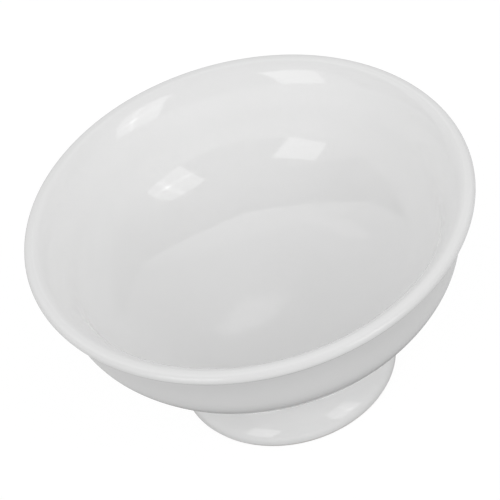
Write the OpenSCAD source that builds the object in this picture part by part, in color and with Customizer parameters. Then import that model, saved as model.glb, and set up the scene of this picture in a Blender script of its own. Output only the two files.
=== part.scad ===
// Footed porcelain bowl for working up shaving lather.
// A thick basin with a rolled rim is stuck with slip to a hollow trumpet foot, then glazed.
// Millimetres, +Z up. The origin is on the table, at the centre of the foot ring.
// Every piece is turned about Z. Its section lies in the X-Y plane of rotate_extrude: [radius, height].

/* [Overall] */
// Outside diameter of the rim
rim_d = 120; // [96:1:150]
// Depth of the basin, from the top of the rim to the floor
inside_depth = 34.6; // [28:0.2:44]
// Thickness of the clay and glaze at the middle of the floor
floor_t = 5.9; // [4.6:0.1:8]
// Height of the foot, from the table to the underside of the floor
pedestal_h = 21; // [16:0.1:30]

/* [Basin wall] */
// Thickness of the wall, glaze included
wall_t = 5.9; // [4.6:0.1:8]
// How far the steepest part of the inner wall lies in from the edge of the rim
waist_in = 10.6; // [9:0.1:15]
// How far it lies below the top of the rim
waist_drop = 12; // [9:0.1:15]
// Slope of the inner wall there, in degrees from level
waist_slope = 75; // [65:1:85]
// Slope of the outer wall where it meets the rolled rim, in degrees from level
wall_slope = 72; // [65:1:85]
// Roundness of the inner wall above the floor, as a share of the rise
belly_round = 0.87; // [0.6:0.01:1]
// Flatness of the floor, as a share of the radius
floor_flat = 0.49; // [0.3:0.01:0.6]

/* [Rolled rim] */
// How far the top line of the rim lies in from its edge
crest_in = 2.4; // [1.8:0.1:3.2]
// How far the widest line of the roll lies below its top
roll_drop = 1.7; // [1.3:0.1:2.4]
// Height of the roll, from its top to the wall below it
roll_h = 5.5; // [4.4:0.1:7]
// How far the roll stands out past the wall below it
roll_overhang = 3.4; // [2.6:0.1:4.2]

/* [Foot] */
// Outside diameter of the foot
foot_d = 59.2; // [50:0.2:72]
// Outside diameter of the neck, where the foot is stuck to the basin
neck_d = 41; // [34:0.2:49]
// How far the neck joint lies below the underside of the floor
neck_drop = 5.1; // [4.2:0.1:6.2]
// How far the fillet above the neck reaches out under the basin
neck_fillet = 6.1; // [5:0.1:7.4]
// Slope of the basin's underside at the fillet, in degrees from level
under_slope = 13; // [8:1:18]
// How far the middle of the instep lies in from the edge of the foot
instep_in = 3.2; // [2.6:0.1:4]
// Height of the instep above the table
instep_z = 5.8; // [4.8:0.1:7]
// Slope of the instep, in degrees from level
instep_slope = 38; // [32:1:48]
// Height at which the foot is widest
foot_edge_z = 1.2; // [1:0.1:1.7]
// Thickness of the foot at its neck
foot_t = 4.8; // [4:0.1:5.8]
// Slope of the hollow in the foot where it opens, in degrees from level
hollow_slope = 52; // [44:1:60]
// Width of the flat bare ring that the foot stands on
ring_w = 2.8; // [2.2:0.1:3.4]

/* [Neck joint] */
// Thickness of the fired slip between basin and foot
slip_t = 0.5; // [0.4:0.05:0.8]
// How far the spigot under the basin reaches into the foot
spigot_h = 1.2; // [0.9:0.1:1.6]
// Width of the spigot wall
spigot_w = 2; // [1.6:0.1:2.4]

/* [Glaze] */
// Thickness of the glaze
glaze_t = 0.4; // [0.3:0.05:0.5]
// Height of the clay left bare above the table
bare_h = 0.7; // [0.5:0.05:0.9]

/* [Hidden] */
$fn = 180;
curve_steps = 14;
floor_steps = 28;

// Heights
ceiling_z = pedestal_h;
floor_z = ceiling_z + floor_t;
rim_z = floor_z + inside_depth;
joint_z = ceiling_z - neck_drop;

// Radii
rim_r = rim_d / 2;
waist_r = rim_r - waist_in;
neck_r = neck_d / 2;
cavity_r = neck_r - foot_t;
foot_r = foot_d / 2;
toe_r = 0.8 * bare_h;
heel_r = 0.75 * bare_h;
ring_out_r = foot_r - glaze_t - toe_r;
ring_in_r = ring_out_r - ring_w;
spigot_r = cavity_r + spigot_w;
cavity_corner = 0.3 * neck_drop;

// A curve is a list of the four control points of a cubic Bezier, [radius, height] each.
function point(c, t) =
    c[0] * pow(1 - t, 3) + 3 * c[1] * t * pow(1 - t, 2) + 3 * c[2] * t * t * (1 - t) + c[3] * pow(t, 3);
function heading(c, t) =
    (c[1] - c[0]) * pow(1 - t, 2) + 2 * (c[2] - c[1]) * t * (1 - t) + (c[3] - c[2]) * t * t;
// Unit vector at an angle from level, pointing outward and up
function slope(angle) = [cos(angle), sin(angle)];
// Point of a curve moved square to it, towards the right of its direction
function beside(c, t, move) = let (v = heading(c, t)) point(c, t) + move * [v.y, -v.x] / norm(v);
// Points along a curve, all moved by the same distance
function along(c, move = 0, steps = curve_steps) = [for (i = [0:steps]) beside(c, i / steps, move)];
function reversed(list) = [for (i = [len(list) - 1:-1:0]) list[i]];
// Quarter turn from one point to another, leaving level and arriving upright
function quarter(a, b) = [a, [a.x + 0.55 * (b.x - a.x), a.y], [b.x, b.y - 0.55 * (b.y - a.y)], b];

// Glazed surface, from the middle of the floor over the rim and down to the table.
// The clay or glaze behind it lies on the right of its direction.
waist = [waist_r, rim_z - waist_drop];
crest = [rim_r - crest_in, rim_z];
roll_edge = [rim_r, rim_z - roll_drop];
roll_foot = [rim_r - roll_overhang, rim_z - roll_h];
floor_curve = [
    [0, floor_z],
    [floor_flat * waist_r, floor_z],
    waist - belly_round * (waist.y - floor_z) * slope(waist_slope),
    waist
];
lip_curve = [
    waist,
    waist + 0.7 * waist_drop * slope(waist_slope),
    crest - [0.22 * (crest.x - waist.x), 0],
    crest
];
roll_top_curve = [
    crest,
    crest + [0.38 * crest_in, 0],
    roll_edge + [0, 0.96 * roll_drop],
    roll_edge
];
roll_under_curve = [
    roll_edge,
    roll_edge - [0, 0.38 * (roll_h - roll_drop)],
    roll_foot + 0.47 * (roll_h - roll_drop) * slope(wall_slope),
    roll_foot
];
// The outer wall starts below the roll and ends on a line one wall thickness behind the belly.
belly_t = 0.8;
belly_back = beside(floor_curve, belly_t, wall_t);
belly_heading = heading(floor_curve, belly_t) / norm(heading(floor_curve, belly_t));
wall_run = norm(roll_foot - belly_back);
wall_curve = [
    roll_foot,
    roll_foot - 0.6 * wall_run * slope(wall_slope),
    belly_back + 0.46 * wall_run * belly_heading,
    belly_back
];
underside_root = [neck_r + neck_fillet, ceiling_z + 0.05 * waist_r];
under_run = norm(belly_back - underside_root);
underside_curve = [
    belly_back,
    belly_back - 0.34 * under_run * belly_heading,
    underside_root + 0.4 * under_run * slope(under_slope),
    underside_root
];
neck_top = [neck_r, joint_z];
neck_curve = [
    underside_root,
    underside_root - 0.63 * neck_fillet * slope(under_slope),
    neck_top + [0, 0.6 * neck_drop],
    neck_top
];
neck_bottom = [neck_r, joint_z - slip_t];
instep = [foot_r - instep_in, instep_z];
foot_edge = [foot_r, foot_edge_z];
flare_curve = [
    neck_bottom,
    neck_bottom - [0, 0.64 * (neck_bottom.y - instep.y)],
    instep - 0.66 * (instep.y - foot_edge.y) * slope(-instep_slope),
    instep
];
edge_curve = [
    instep,
    instep + 0.63 * (instep.y - foot_edge.y) * slope(-instep_slope),
    foot_edge + [0, 0.38 * (instep.y - foot_edge.y)],
    foot_edge
];
// The glaze ends in a rounded lip above the bare ring that the foot stands on.
glaze_end = [foot_r - glaze_t, bare_h];
glaze_lip = [
    foot_edge,
    foot_edge - [0, 0.55 * (foot_edge.y - glaze_end.y)],
    glaze_end + [0.55 * glaze_t, 0],
    glaze_end
];
toe_curve = reversed(quarter([ring_out_r, 0], glaze_end));

// Clay inside the foot, from the middle of the ceiling out and down to the ring.
// The hollow lies on the right of its direction.
corner_start = [cavity_r - cavity_corner, ceiling_z];
corner_curve = quarter(corner_start, [cavity_r, ceiling_z - cavity_corner]);
bell_start = [cavity_r, joint_z - spigot_h - slip_t];
bell_end = [ring_in_r - heel_r, bare_h];
bell_curve = [
    bell_start,
    bell_start - [0, 0.53 * (bell_start.y - bell_end.y)],
    bell_end - 0.2 * (bell_start.y - bell_end.y) * slope(-hollow_slope),
    bell_end
];
heel_curve = [
    bell_end,
    bell_end + 0.6 * bare_h * slope(-hollow_slope),
    [ring_in_r - 0.3 * heel_r, 0],
    [ring_in_r, 0]
];

// Sections of the clay and glaze surfaces behind the visible one
function basin_surface(move) = concat(
    along(floor_curve, move, floor_steps),
    along(lip_curve, move),
    along(roll_top_curve, move),
    along(roll_under_curve, move),
    along(wall_curve, move),
    along(underside_curve, move),
    along(neck_curve, move)
);
function foot_surface(move) = concat(
    along(flare_curve, move),
    along(edge_curve, move)
);
function cavity_surface(move) = concat(
    [[0, ceiling_z - move]],
    along(corner_curve, move),
    along(bell_curve, move)
);

module turned(section) {
    rotate_extrude() polygon(section);
}

// Basin of fired clay with its rolled rim, and the spigot that centres it on the foot
module bowl_body() {
    color("linen") turned(concat(
        basin_surface(glaze_t),
        [
            [spigot_r, joint_z],
            [spigot_r, joint_z - spigot_h],
            [cavity_r, joint_z - spigot_h]
        ],
        reversed(along(corner_curve)),
        [[0, ceiling_z]]
    ));
}

// Hollow trumpet foot of fired clay, with a step at its top that takes the spigot
module pedestal_foot() {
    color("antiquewhite") turned(concat(
        foot_surface(glaze_t),
        along(toe_curve),
        reversed(along(heel_curve)),
        reversed(along(bell_curve)),
        [
            [spigot_r + slip_t, joint_z - spigot_h - slip_t],
            [spigot_r + slip_t, joint_z - slip_t]
        ]
    ));
}

// Fired slip that fills the stepped joint between basin and foot
module slip_joint() {
    color("wheat") turned([
        [neck_r - glaze_t, joint_z],
        [spigot_r, joint_z],
        [spigot_r, joint_z - spigot_h],
        [cavity_r, joint_z - spigot_h],
        [cavity_r, joint_z - spigot_h - slip_t],
        [spigot_r + slip_t, joint_z - spigot_h - slip_t],
        [spigot_r + slip_t, joint_z - slip_t],
        [neck_r - glaze_t, joint_z - slip_t]
    ]);
}

// White glaze over everything but the ring and the hollow of the foot
module glaze_coat() {
    color("white") turned(concat(
        basin_surface(0),
        foot_surface(0),
        along(glaze_lip),
        reversed(foot_surface(glaze_t)),
        reversed(basin_surface(glaze_t))
    ));
}

// White glaze inside the hollow foot
module cavity_glaze() {
    color("whitesmoke") turned(concat(
        cavity_surface(0),
        reversed(cavity_surface(glaze_t))
    ));
}

bowl_body();
pedestal_foot();
slip_joint();
glaze_coat();
cavity_glaze();
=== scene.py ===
"""Looks of a footed white porcelain lather bowl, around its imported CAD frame.

Metres, +Z up, with the origin on the table at the centre of the foot ring.
Azimuths are in degrees from -Y, where the camera stands, towards +X.
"""
import math

import bmesh
import bpy
import numpy as np
from mathutils import Matrix, Vector, noise
from mathutils.bvhtree import BVHTree


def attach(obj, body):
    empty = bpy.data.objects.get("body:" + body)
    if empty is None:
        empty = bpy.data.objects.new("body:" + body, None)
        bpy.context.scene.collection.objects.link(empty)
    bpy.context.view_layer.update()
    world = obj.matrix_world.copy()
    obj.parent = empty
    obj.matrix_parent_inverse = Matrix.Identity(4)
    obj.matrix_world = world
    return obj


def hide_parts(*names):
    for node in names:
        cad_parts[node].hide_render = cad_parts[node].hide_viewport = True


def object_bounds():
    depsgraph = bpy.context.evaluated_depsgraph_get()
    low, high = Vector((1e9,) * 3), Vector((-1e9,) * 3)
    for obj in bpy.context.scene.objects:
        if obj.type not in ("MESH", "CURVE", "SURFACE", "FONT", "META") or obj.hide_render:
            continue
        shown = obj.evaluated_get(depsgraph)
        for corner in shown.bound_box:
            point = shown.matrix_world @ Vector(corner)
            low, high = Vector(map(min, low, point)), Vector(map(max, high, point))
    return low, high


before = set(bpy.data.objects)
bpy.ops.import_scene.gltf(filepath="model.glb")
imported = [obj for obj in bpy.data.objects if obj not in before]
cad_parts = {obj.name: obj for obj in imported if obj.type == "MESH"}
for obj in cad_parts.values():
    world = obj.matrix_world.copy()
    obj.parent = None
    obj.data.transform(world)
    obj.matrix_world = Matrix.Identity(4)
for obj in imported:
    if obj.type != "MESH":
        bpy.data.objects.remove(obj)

MM = 0.001
cad_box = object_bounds()

# Places in the photograph, in pixels of its 500 x 500 frame, and how far in front of an edge
# something lies that hides it
W = H = 500
EXTENTS = {"left": 24.3, "right": 475.5, "top": 54.1, "bottom": 445.9}
HIDDEN_BY = 0.3 * MM

# Camera
CAMERA_ELEVATION = 43.1
CAMERA_ROLL = 15.35
CAMERA_DISTANCE = 0.84
LENS = 231.95
SENSOR = 36.0
CLIP = (0.05, 20)
AIM_ROUNDS = 4

# Bounces between polished surfaces, enough for a ray that runs round under the lip
MIRROR_BOUNCES = 12

# Mesh of the glaze: its steps round and along, its waves, and its wiped lower end
WELD = 1e-7
TURNS = 256
BETWEEN = 2
HIDDEN_STEP = 3
WAVE_HEIGHT = 0.02 * MM
WAVE_LENGTH = 16 * MM
FADE_RINGS = 8
WIPE_HEIGHT = 0.09 * MM
WIPE_LENGTH = 5 * MM
WIPE_REACH = 0.5 * MM

# Glaze and clay
GLAZE_WHITES = ((0.862, 0.862, 0.860), (0.878, 0.878, 0.878))
GLAZE_ROUGHNESS = (0.03, 0.065)
GLAZE_IOR = 1.5
CLOUD_SCALE = 28.0
PATCH_SCALE = 120.0
PEEL_SCALE = 420.0
PEEL_STRENGTH = 0.2
PEEL_HEIGHT = 0.004 * MM
SPECK_CELLS = 95.0
SPECK_SIZE = 0.03
SPECK_SHARE = 0.02
SPECK_COLOUR = (0.45, 0.43, 0.4)
CLAY_TONES = ((0.72, 0.70, 0.67), (0.80, 0.78, 0.75))
SLIP_TONES = ((0.68, 0.66, 0.62), (0.76, 0.74, 0.70))
CLAY_ROUGHNESS = 0.8
GRAIN_SCALE = 1800.0
GRAIN_STRENGTH = 0.5
GRAIN_HEIGHT = 0.05 * MM

# Studio. A box is (azimuth, elevation, size, lean as an axis times an angle, power), and its face has
# corners in shares of its size. A patch of the mirrored studio has corners in directions x, y, 1, and a
# fold of it is (softness of its edge, gain, patch).
BOX_DISTANCE = 1.2
RIGHT_BOX = (48.2, 32.85, (0.801, 0.535), (0.273, -0.937, -0.066), 2.9)
LEFT_BOX = (-47.5, 32.67, (0.572, 0.555), (0.241, 0.481, 0.002), 2.05)
RIGHT_FACE = ((-0.5, -0.5), (0.5, -0.5), (0.52, 0.5), (0.38, 0.98), (-0.3, 0.76), (-0.5, 0.52))
LEFT_FACE = ((-0.5, -0.5), (0.44, -0.5), (0.53, 0.5), (-0.45, 0.5))
RIGHT_LEVEL = 1.85
LEFT_LEVEL = 2.15
SEAM_GAIN = 1.3
SEAM_WIDTH = 0.1
BULB_GAIN = 2.2
BULB_SIZE = 0.17
FLOOR_SIZE = 3.0
FLOOR_GAP = 0.05 * MM
FLOOR_COLOUR = (0.46, 0.46, 0.46)
FLOOR_ROUGHNESS = 0.9
FLOOR_WHITE = 0.8
FLOOR_MIRRORED = 0.38
FLOOR_GLOW = 1.17
MIRRORED_SHADOW = (0.028, 0.07)
BAND_TOP = math.sin(math.radians(19))
STUDIO_EDGE = 0.01
RIGHT_WALL_EDGE = 0.2
STUDIO = {"band": 0.6, "left": 0.0, "right": 0.3, "sides": 0.45, "camera": 0.0, "backdrop": 0.85}
RIGHT_WALL = ((0.1, 9, 1), (0.3, -9, 1), (9, -9, 1), (9, 9, 1))
SIDE_WALLS = ((-9, -0.5, 1), (-9, -9, 1), (9, -9, 1), (9, -0.5, 1))
CAMERA_SIDE = ((-0.45, -0.45, 1), (-5.7, -9, 1), (5.7, -9, 1), (0.4, -0.45, 1))
BACKDROP_HEM = ((-1.0, 0.45, 1), (-0.5, 0.26, 1), (0, 0.13, 1), (0.5, 0.26, 1), (0.9, 0.42, 1))
BACKDROP = ((-9, 8.5, 1), *BACKDROP_HEM, (9, 14.6, 1))
FOLDS = (
    # A shaded stretch and a lit fold high behind, and a lit fold at the left
    (0.10, -0.3, ((-0.05, 1.7, 1), (-0.28, 0.9, 1), (-0.1, 0.6, 1), (0.02, 0.9, 1))),
    (0.015, 0.7, ((0.06, 0.95, 1), (0.22, 1.22, 1), (0.16, 1.32, 1), (0, 1.15, 1), (-0.03, 1.0, 1))),
    (0.02, 0.5, ((-0.66, 0.86, 1), (-0.5, 0.5, 1), (-0.24, 0.38, 1), (-0.4, 0.7, 1))),
    # A brighter stretch along the hem
    (0.03, 0.25, (*BACKDROP_HEM, (0.4, 0.45, 1), (-0.4, 0.45, 1))),
    # Soft light on the left and right walls
    (0.12, 0.3, ((-1.1, -0.1, 1), (-1.1, 0.8, 1), (-3.2, 1.6, 1), (-3.2, -0.3, 1))),
    (0.12, 0.25, ((1.0, 0.1, 1), (3.0, 0.3, 1), (3.0, 3.0, 1), (1.2, 1.2, 1))),
)
SKY = {"top": 0.205, "belt": 0.78, "front": 0.2}


# ---------------------------------------------------------------- shapes


def cad_section(node):
    """The [radius, height] points of a CAD node's half section, from its highest point on the axis."""
    mesh = bmesh.new()
    mesh.from_mesh(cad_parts[node].data)
    bmesh.ops.remove_doubles(mesh, verts=mesh.verts, dist=WELD)
    whole = mesh.verts[:] + mesh.edges[:] + mesh.faces[:]
    cut = bmesh.ops.bisect_plane(mesh, geom=whole, dist=WELD, plane_co=(0, 0, 0), plane_no=(0, 1, 0))
    links = {}
    for edge in cut["geom_cut"]:
        if isinstance(edge, bmesh.types.BMEdge) and all(v.co.x > -WELD for v in edge.verts):
            a, b = edge.verts
            links.setdefault(a, []).append(b)
            links.setdefault(b, []).append(a)
    ends = [v for v, near in links.items() if len(near) == 1]
    here = max(ends, key=lambda v: v.co.z)
    seen = []
    while here is not None:
        seen.append(here)
        onward = [v for v in links[here] if v not in seen]
        here = onward[0] if onward else None
    section = np.array([[v.co.x, v.co.z] for v in seen])
    mesh.free()
    return section


def refined(points, between):
    """The points with others between them, on a smooth curve through them all."""
    step = np.linalg.norm(np.diff(points, axis=0), axis=1)
    along = np.concatenate([[0], np.cumsum(step)])
    chord = np.diff(points, axis=0) / step[:, None]
    weight = (step[1:] / (step[1:] + step[:-1]))[:, None]
    tangent = np.concatenate([chord[:1], weight * chord[:-1] + (1 - weight) * chord[1:], chord[-1:]])
    fine = []
    for i in range(len(step)):
        for k in range(between):
            t = k / between
            a, b = points[i], points[i + 1]
            ta, tb = tangent[i] * step[i], tangent[i + 1] * step[i]
            fine.append((2 * t**3 - 3 * t**2 + 1) * a + (t**3 - 2 * t**2 + t) * ta
                        + (3 * t**2 - 2 * t**3) * b + (t**3 - t**2) * tb)
    fine.append(points[-1])
    return np.array(fine)


def turned(name, section, moved=None):
    """A closed mesh turned about Z from a section whose two ends lie on the axis."""
    mesh = bmesh.new()
    rings = []
    for j, (r, z) in enumerate(section):
        if j in (0, len(section) - 1):
            rings.append([mesh.verts.new((0, 0, z))] * TURNS)
            continue
        ring = []
        for i in range(TURNS):
            angle = math.tau * i / TURNS
            place = Vector((r * math.cos(angle), r * math.sin(angle), z))
            ring.append(mesh.verts.new(moved(place, j, angle) if moved else place))
        rings.append(ring)
    for upper, lower in zip(rings, rings[1:]):
        for i in range(TURNS):
            k = (i + 1) % TURNS
            corners = list(dict.fromkeys((upper[i], lower[i], lower[k], upper[k])))
            mesh.faces.new(corners)
    bmesh.ops.recalc_face_normals(mesh, faces=mesh.faces)
    data = bpy.data.meshes.new(name)
    mesh.to_mesh(data)
    mesh.free()
    data.shade_smooth()
    piece = bpy.data.objects.new(name, data)
    bpy.context.scene.collection.objects.link(piece)
    return piece


# ---------------------------------------------------------------- materials


def graph(tree):
    """Two functions that build a node tree: one adds a node, the other a Math node."""
    def add(kind, links=(), **values):
        node = tree.nodes.new(kind)
        for key, value in values.items():
            if key in node.inputs:
                node.inputs[key].default_value = value
            else:
                setattr(node, key, value)
        for key, source in links:
            tree.links.new(source, node.inputs[key])
        return node

    def maths(operation, *terms):
        node = add("ShaderNodeMath", operation=operation)
        for slot, term in zip(node.inputs, terms):
            if isinstance(term, (int, float)):
                slot.default_value = term
            else:
                tree.links.new(term, slot)
        return node.outputs[0]

    return add, maths


def ramp(add, value, start, end):
    """0 before start, 1 past end, and smooth between, whichever of the two is larger."""
    node = add("ShaderNodeMapRange", [("Value", value)], interpolation_type="SMOOTHSTEP")
    node.inputs["From Min"].default_value = start
    node.inputs["From Max"].default_value = end
    return node.outputs["Result"]


def blend(maths, share, low, high):
    """low where share is 0, high where it is 1."""
    return maths("MULTIPLY_ADD", share, maths("SUBTRACT", high, low), low)


def new_material(name):
    """A node material and its Principled shader, with the functions that add nodes to it."""
    material = bpy.data.materials.new(name)
    material.use_nodes = True
    return material, material.node_tree.nodes["Principled BSDF"], *graph(material.node_tree)


def tints(add, value, positions, colours):
    """A colour that goes from the first to the second as the value passes from one position to the other."""
    node = add("ShaderNodeValToRGB", [("Fac", value)])
    for element, position, colour in zip(node.color_ramp.elements, positions, colours):
        element.position = position
        element.color = (*colour, 1)
    return node.outputs["Color"]


def glaze_material():
    """White gloss glaze: faint clouds of tone, a gloss that varies, orange peel, and a rare kiln speck."""
    material, shader, add, maths = new_material("white_gloss_glaze")
    wire = material.node_tree.links.new
    place = add("ShaderNodeTexCoord").outputs["Object"]
    cloud = add("ShaderNodeTexNoise", [("Vector", place)], Scale=CLOUD_SCALE, Detail=3.0).outputs["Fac"]
    white = tints(add, cloud, (0.3, 0.7), GLAZE_WHITES)
    cells = add("ShaderNodeTexVoronoi", [("Vector", place)], Scale=SPECK_CELLS).outputs
    near = ramp(add, cells["Distance"], SPECK_SIZE, 0.0)
    chosen = add("ShaderNodeSeparateColor", [(0, cells["Color"])]).outputs[0]
    speck = maths("MULTIPLY", near, maths("GREATER_THAN", chosen, 1 - SPECK_SHARE))
    colour = add("ShaderNodeMix", [("Factor", speck)], data_type="RGBA")
    wire(white, colour.inputs["A"])
    colour.inputs["B"].default_value = (*SPECK_COLOUR, 1)
    wire(colour.outputs["Result"], shader.inputs["Base Color"])
    patch = add("ShaderNodeTexNoise", [("Vector", place)], Scale=PATCH_SCALE, Detail=2.0).outputs["Fac"]
    low, high = GLAZE_ROUGHNESS
    wire(maths("MULTIPLY_ADD", patch, high - low, low), shader.inputs["Roughness"])
    peel = add("ShaderNodeTexNoise", [("Vector", place)], Scale=PEEL_SCALE, Detail=1.0).outputs["Fac"]
    bump = add("ShaderNodeBump", [("Height", peel)], Strength=PEEL_STRENGTH, Distance=PEEL_HEIGHT)
    wire(bump.outputs["Normal"], shader.inputs["Normal"])
    shader.inputs["IOR"].default_value = GLAZE_IOR
    return material


def clay_material(name, tones):
    """Bare fired clay: matt, with a fine sandy grain in tone and height."""
    material, shader, add, _ = new_material(name)
    wire = material.node_tree.links.new
    place = add("ShaderNodeTexCoord").outputs["Object"]
    grain = add("ShaderNodeTexNoise", [("Vector", place)], Scale=GRAIN_SCALE, Detail=4.0).outputs["Fac"]
    wire(tints(add, grain, (0.35, 0.6), tones), shader.inputs["Base Color"])
    bump = add("ShaderNodeBump", [("Height", grain)], Strength=GRAIN_STRENGTH, Distance=GRAIN_HEIGHT)
    wire(bump.outputs["Normal"], shader.inputs["Normal"])
    shader.inputs["Roughness"].default_value = CLAY_ROUGHNESS
    return material


# ---------------------------------------------------------------- pieces


def waved(section, shown):
    """A function that moves a turned point of the coat, whose section shows in its first points only.

    What shows sinks by the slight waves of a dipped glaze, and the lower end wavers where it was wiped.
    """
    tangent = np.gradient(section, axis=0)
    square = np.stack([tangent[:, 1], -tangent[:, 0]], axis=1)
    square /= np.linalg.norm(square, axis=1)[:, None]
    lowest = section[:, 1].min()

    def moved(place, j, angle):
        near_end = max(0, 1 - (place.z - lowest) / WIPE_REACH)
        lift = WIPE_HEIGHT * near_end * (1 + noise.noise(place / WIPE_LENGTH))
        sink = WAVE_HEIGHT * (2 + noise.noise(place / WAVE_LENGTH))
        out, up = square[j] * sink * min(1, max(0, shown - 1 - j) / FADE_RINGS)
        return place + Vector((out * math.cos(angle), out * math.sin(angle), up + lift))

    return moved


glaze = glaze_material()
clay = clay_material("bare_porcelain_clay", CLAY_TONES)
slip = clay_material("fired_slip_clay", SLIP_TONES)

section = cad_section("glaze_coat")
end = int(np.argmin(section[:, 1]))
outer = refined(section[:end + 1], BETWEEN)
behind = section[end + 1::HIDDEN_STEP]
behind = np.concatenate([behind[:-1] if behind[-1][0] < WELD else behind, section[-1:]])
coat_section = np.concatenate([outer, behind])
coat = turned("glaze_coat_finish", coat_section, waved(coat_section, len(outer)))
coat.data.materials.append(glaze)
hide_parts("glaze_coat")
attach(coat, "root")

hollow_section = cad_section("cavity_glaze")
hollow = turned("foot_hollow_glaze_finish", hollow_section)
hollow.data.materials.append(glaze)
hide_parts("cavity_glaze")
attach(hollow, "root")

for node, material in (("bowl_body", clay), ("pedestal_foot", clay), ("slip_joint", slip)):
    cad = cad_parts[node]
    cad.data.materials.clear()
    cad.data.materials.append(material)


# ---------------------------------------------------------------- camera

rim_centre = Vector((0, 0, cad_box[1].z))


def camera_turn(shift_right, shift_down):
    """The camera's rotation, with the rim's centre that many pixels from the middle of the frame.

    The second result is the direction from the rim's centre to the camera.
    """
    elevation = math.radians(CAMERA_ELEVATION)
    right = Vector((1, 0, 0))
    back = Vector((0, -math.cos(elevation), math.sin(elevation)))
    axes = Matrix((right, back.cross(right), back)).transposed()
    roll = Matrix.Rotation(-math.radians(CAMERA_ROLL), 3, "Z")
    toward = Vector((shift_right, -shift_down, -W * LENS / SENSOR))
    aim = Vector((0, 0, -1)).rotation_difference(toward).to_matrix().transposed()
    return axes @ roll @ aim, back


def in_frame(points, turn, place):
    """Pixel coordinates of world points, for a camera of that rotation at that place."""
    local = (points - np.array(place)) @ np.array(turn)
    scale = W * LENS / SENSOR / -local[:, 2]
    return np.stack([W / 2 + local[:, 0] * scale, H / 2 - local[:, 1] * scale], axis=1)


coat_points = np.array([v.co for v in coat.data.vertices])
middle = np.array([EXTENTS["left"] + EXTENTS["right"], EXTENTS["top"] + EXTENTS["bottom"]]) / 2
shift = np.zeros(2)
for _ in range(AIM_ROUNDS):
    turn, back = camera_turn(*shift)
    camera_place = rim_centre + CAMERA_DISTANCE * back
    seen = in_frame(coat_points, turn, camera_place)
    shift += middle - (seen.min(axis=0) + seen.max(axis=0)) / 2

camera = bpy.data.objects.new("camera", bpy.data.cameras.new("camera"))
camera.data.lens = LENS
camera.data.sensor_width = SENSOR
camera.data.sensor_fit = "AUTO"
camera.data.clip_start, camera.data.clip_end = CLIP
camera.matrix_world = Matrix.Translation(camera_place) @ turn.to_4x4()
bpy.context.scene.collection.objects.link(camera)
bpy.context.scene.camera = camera


# ---------------------------------------------------------------- stage and light


def direction(azimuth, elevation):
    """The unit vector at an azimuth and elevation in degrees."""
    a, e = math.radians(azimuth), math.radians(elevation)
    return Vector((math.sin(a) * math.cos(e), -math.cos(a) * math.cos(e), math.sin(e)))


def looked_at(add, maths):
    """Two sockets: 1 for a ray from the camera, and 1 for a ray from a polished surface or glass."""
    path = add("ShaderNodeLightPath").outputs
    mirrored = maths("MAXIMUM", path["Is Glossy Ray"], path["Is Transmission Ray"])
    return path["Is Camera Ray"], mirrored


def soft_box(name, azimuth, elevation, size, turned_by, power):
    """A flat soft lamp BOX_DISTANCE from the rim's centre, facing it but for a turn, and not mirrored."""
    away = direction(azimuth, elevation)
    across = Vector((0, 0, 1)).cross(away).normalized()
    axes = Matrix((across, away.cross(across), away)).transposed()
    lean = Vector(turned_by)
    axes = axes @ Matrix.Rotation(lean.length, 3, lean.normalized())
    lamp = bpy.data.lights.new(name, "AREA")
    lamp.shape = "RECTANGLE"
    lamp.size, lamp.size_y = size
    lamp.energy = power
    box = bpy.data.objects.new(name, lamp)
    box.matrix_world = Matrix.Translation(away * BOX_DISTANCE + rim_centre) @ axes.to_4x4()
    box.visible_camera = False
    box.visible_glossy = False
    bpy.context.scene.collection.objects.link(box)
    return box


def box_face(name, box, corners, level, seam=0.0, bulb=0.0):
    """The lit cloth of a soft box, as only polished surfaces see it, with two seams and a bulb behind."""
    size = Vector((box.data.size, box.data.size_y, 1))
    data = bpy.data.meshes.new(name)
    data.from_pydata([(u, v, 0) for u, v in corners], [], [range(len(corners))])
    face = bpy.data.objects.new(name, data)
    face.matrix_world = box.matrix_world @ Matrix.Diagonal(size).to_4x4()
    face.visible_camera = False
    face.visible_diffuse = False
    face.visible_shadow = False
    bpy.context.scene.collection.objects.link(face)
    material = bpy.data.materials.new(name)
    material.use_nodes = True
    material.cycles.emission_sampling = "NONE"
    tree = material.node_tree
    add, maths = graph(tree)
    place = add("ShaderNodeTexCoord").outputs["Object"]
    parts = add("ShaderNodeSeparateXYZ", [(0, place)]).outputs
    reach = add("ShaderNodeVectorMath", [(0, place)], operation="LENGTH").outputs["Value"]
    strength = maths("MULTIPLY_ADD", ramp(add, reach, BULB_SIZE, 0.0), bulb, level)
    for axis in ("X", "Y"):
        beside = maths("ABSOLUTE", parts[axis])
        strength = maths("MULTIPLY_ADD", ramp(add, beside, SEAM_WIDTH, 0.0), seam, strength)
    glow = add("ShaderNodeEmission", [("Strength", strength)])
    tree.links.new(glow.outputs[0], tree.nodes["Material Output"].inputs["Surface"])
    data.materials.append(material)


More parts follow.
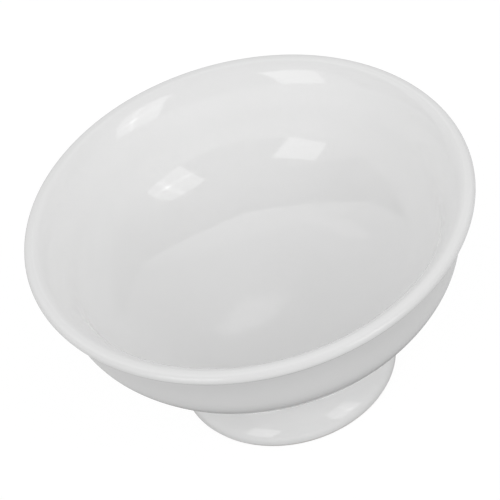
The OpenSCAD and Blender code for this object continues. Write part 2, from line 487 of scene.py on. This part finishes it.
def studio_floor():
    """A pale floor, nearly white to the camera, and for the glaze dark under the bowl and pale beyond."""
    data = bpy.data.meshes.new("floor")
    corners = [(x * FLOOR_SIZE, y * FLOOR_SIZE, 0) for x, y in ((-1, -1), (1, -1), (1, 1), (-1, 1))]
    data.from_pydata(corners, [], [(0, 1, 2, 3)])
    floor = bpy.data.objects.new("floor", data)
    floor.location.z = -FLOOR_GAP
    bpy.context.scene.collection.objects.link(floor)
    material = bpy.data.materials.new("pale_floor")
    material.use_nodes = True
    tree = material.node_tree
    add, maths = graph(tree)
    shader = tree.nodes["Principled BSDF"]
    shader.inputs["Base Color"].default_value = (*FLOOR_COLOUR, 1)
    shader.inputs["Roughness"].default_value = FLOOR_ROUGHNESS
    shader.inputs["Specular IOR Level"].default_value = 0.0
    seen, mirrored = looked_at(add, maths)
    place = add("ShaderNodeNewGeometry").outputs["Position"]
    reach = add("ShaderNodeVectorMath", [(0, place)], operation="LENGTH").outputs["Value"]
    open_floor = ramp(add, reach, *MIRRORED_SHADOW)
    mirrored_share = maths("MULTIPLY", maths("MULTIPLY", mirrored, open_floor), FLOOR_MIRRORED)
    share = maths("MULTIPLY_ADD", seen, FLOOR_WHITE, mirrored_share)
    glow = add("ShaderNodeEmission", Strength=FLOOR_GLOW)
    mix = add("ShaderNodeMixShader", [("Fac", share), (1, shader.outputs[0]), (2, glow.outputs[0])])
    tree.links.new(mix.outputs[0], tree.nodes["Material Output"].inputs["Surface"])
    data.materials.append(material)


def studio_world():
    """Soft light from a sky that is brightest about 30 degrees up, in front, and the mirrored studio.

    The camera sees it white. The mirrored studio has a pale wall all round up to BAND_TOP, a dark room with
    grey walls above that, and a white backdrop that rises behind the bowl and hangs over it, with its folds.
    """
    world = bpy.data.worlds.new("studio")
    bpy.context.scene.world = world
    world.use_nodes = True
    tree = world.node_tree
    tree.nodes.clear()
    add, maths = graph(tree)
    look = add("ShaderNodeTexCoord").outputs["Generated"]
    parts = add("ShaderNodeSeparateXYZ", [(0, look)]).outputs

    def within(corners, edge=STUDIO_EDGE):
        """1 inside the many-sided patch of the studio whose corners lie in these directions, in order."""
        inside = 1.0
        for here, onward in zip(corners, corners[1:] + corners[:1]):
            normal = Vector(here).cross(Vector(onward)).normalized()
            depth = add("ShaderNodeVectorMath", [(0, look)], operation="DOT_PRODUCT")
            depth.inputs[1].default_value = normal
            inside = maths("MULTIPLY", inside, ramp(add, depth.outputs["Value"], -edge, edge))
        return inside

    level = blend(maths, within(RIGHT_WALL, RIGHT_WALL_EDGE), STUDIO["left"], STUDIO["right"])
    level = blend(maths, within(SIDE_WALLS), level, STUDIO["sides"])
    level = blend(maths, within(CAMERA_SIDE), level, STUDIO["camera"])
    above = ramp(add, parts["Z"], BAND_TOP - STUDIO_EDGE, BAND_TOP + STUDIO_EDGE)
    level = blend(maths, above, STUDIO["band"], level)
    level = blend(maths, within(BACKDROP), level, STUDIO["backdrop"])
    for edge, gain, corners in FOLDS:
        level = maths("MULTIPLY_ADD", within(corners, edge), gain, level)
    seen, mirrored = looked_at(add, maths)
    studio = blend(maths, seen, level, 1.0)

    up = maths("MAXIMUM", parts["Z"], 0.0)
    belt = maths("MULTIPLY", maths("MULTIPLY", up, maths("SUBTRACT", 1.0, up)), 4 * SKY["belt"])
    front = maths("MULTIPLY", maths("MULTIPLY", up, parts["Y"]), -SKY["front"])
    glow = maths("ADD", maths("ADD", belt, front), SKY["top"])
    light = add("ShaderNodeBackground", [("Strength", glow)], Color=(1, 1, 1, 1))
    shown = add("ShaderNodeBackground", [("Strength", studio)], Color=(1, 1, 1, 1))
    share = maths("MAXIMUM", seen, mirrored)
    mix = add("ShaderNodeMixShader", [("Fac", share), (1, light.outputs[0]), (2, shown.outputs[0])])
    output = add("ShaderNodeOutputWorld")
    tree.links.new(mix.outputs[0], output.inputs["Surface"])


right_box = soft_box("right_soft_box", *RIGHT_BOX)
left_box = soft_box("left_soft_box", *LEFT_BOX)
box_face("right_box_face", right_box, RIGHT_FACE, RIGHT_LEVEL, SEAM_GAIN, BULB_GAIN)
box_face("left_box_face", left_box, LEFT_FACE, LEFT_LEVEL)
studio_floor()
studio_world()
bpy.context.scene.view_settings.view_transform = "Standard"
bpy.context.scene.cycles.glossy_bounces = MIRROR_BOUNCES


# ---------------------------------------------------------------- measures


def shown_edges():
    """Pixels of the coat's vertices that show and lie where it turns away from the camera."""
    mesh = coat.data
    normals = np.array([v.normal for v in mesh.vertices])
    facing = ((np.array(camera_place) - coat_points) * normals).sum(axis=1) > 0
    pairs = np.array([e.vertices for e in mesh.edges])
    pairs = pairs[facing[pairs[:, 0]] != facing[pairs[:, 1]]]
    rims = np.unique(np.where(facing[pairs[:, 0]], pairs[:, 0], pairs[:, 1]))
    tree = BVHTree.FromObject(coat, bpy.context.evaluated_depsgraph_get())
    shown = []
    for i in rims:
        ray = Vector(coat_points[i]) - camera_place
        hit = tree.ray_cast(camera_place, ray.normalized())[3]
        if hit is None or hit > ray.length - HIDDEN_BY:
            shown.append(i)
    return in_frame(coat_points[shown], turn, camera_place)


seen = in_frame(coat_points, turn, camera_place)
edges = shown_edges()
